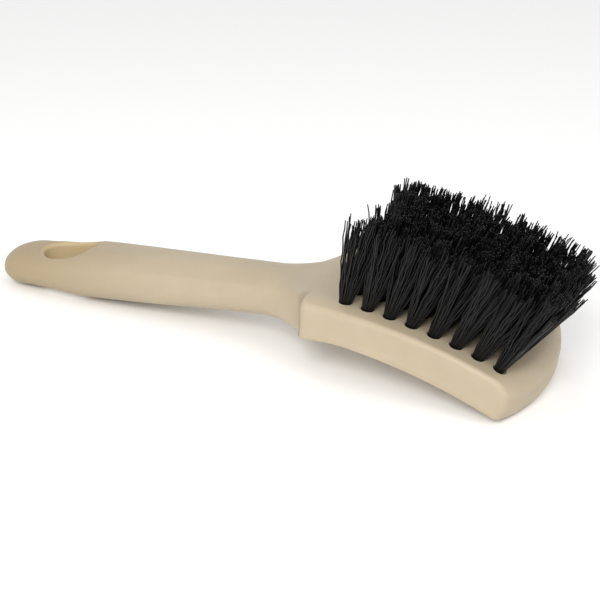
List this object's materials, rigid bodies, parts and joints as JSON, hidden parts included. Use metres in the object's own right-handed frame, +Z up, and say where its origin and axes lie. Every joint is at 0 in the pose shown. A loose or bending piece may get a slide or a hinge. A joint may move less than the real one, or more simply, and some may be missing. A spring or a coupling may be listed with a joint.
{
  "type": "whitewall tire brush",
  "caption": "Whitewall tire brush: one-piece cream plastic handle and arched head with a hang hole, set with rows of stiff black bristle tufts that fan out towards the toe.",
  "frame": {"origin": "Centre of the bounding box in plan, on the surface that the brush lies on with its bristles up.", "axes": "+X from the handle's tail to the toe of the head, +Y across the head, +Z up along the bristles."},
  "size_m": [0.2218, 0.0572, 0.0561],
  "materials": {
    "cream_plastic": "satin moulded polypropylene",
    "black_bristle": "satin stiff polypropylene filament"
  },
  "bodies": {
    "root": {"block": "cream_plastic", "tuft_1_1": "black_bristle", "tuft_1_2": "black_bristle", "tuft_1_3": "black_bristle", "tuft_1_4": "black_bristle", "tuft_1_5": "black_bristle", "tuft_1_6": "black_bristle", "tuft_1_7": "black_bristle", "tuft_1_8": "black_bristle", "tuft_2_1": "black_bristle", "tuft_2_2": "black_bristle", "tuft_2_3": "black_bristle", "tuft_2_4": "black_bristle", "tuft_2_5": "black_bristle", "tuft_2_6": "black_bristle", "tuft_2_7": "black_bristle", "tuft_2_8": "black_bristle", "tuft_3_1": "black_bristle", "tuft_3_2": "black_bristle", "tuft_3_3": "black_bristle", "tuft_3_4": "black_bristle", "tuft_3_5": "black_bristle", "tuft_3_6": "black_bristle", "tuft_3_7": "black_bristle", "tuft_3_8": "black_bristle", "tuft_4_1": "black_bristle", "tuft_4_2": "black_bristle", "tuft_4_3": "black_bristle", "tuft_4_4": "black_bristle", "tuft_4_5": "black_bristle", "tuft_4_6": "black_bristle", "tuft_4_7": "black_bristle", "tuft_4_8": "black_bristle", "tuft_5_1": "black_bristle", "tuft_5_2": "black_bristle", "tuft_5_3": "black_bristle", "tuft_5_4": "black_bristle", "tuft_5_5": "black_bristle", "tuft_5_6": "black_bristle", "tuft_5_7": "black_bristle", "tuft_5_8": "black_bristle", "tuft_6_1": "black_bristle", "tuft_6_2": "black_bristle", "tuft_6_3": "black_bristle", "tuft_6_4": "black_bristle", "tuft_6_5": "black_bristle", "tuft_6_6": "black_bristle", "tuft_6_7": "black_bristle", "tuft_6_8": "black_bristle"}
  },
  "joints": []
}
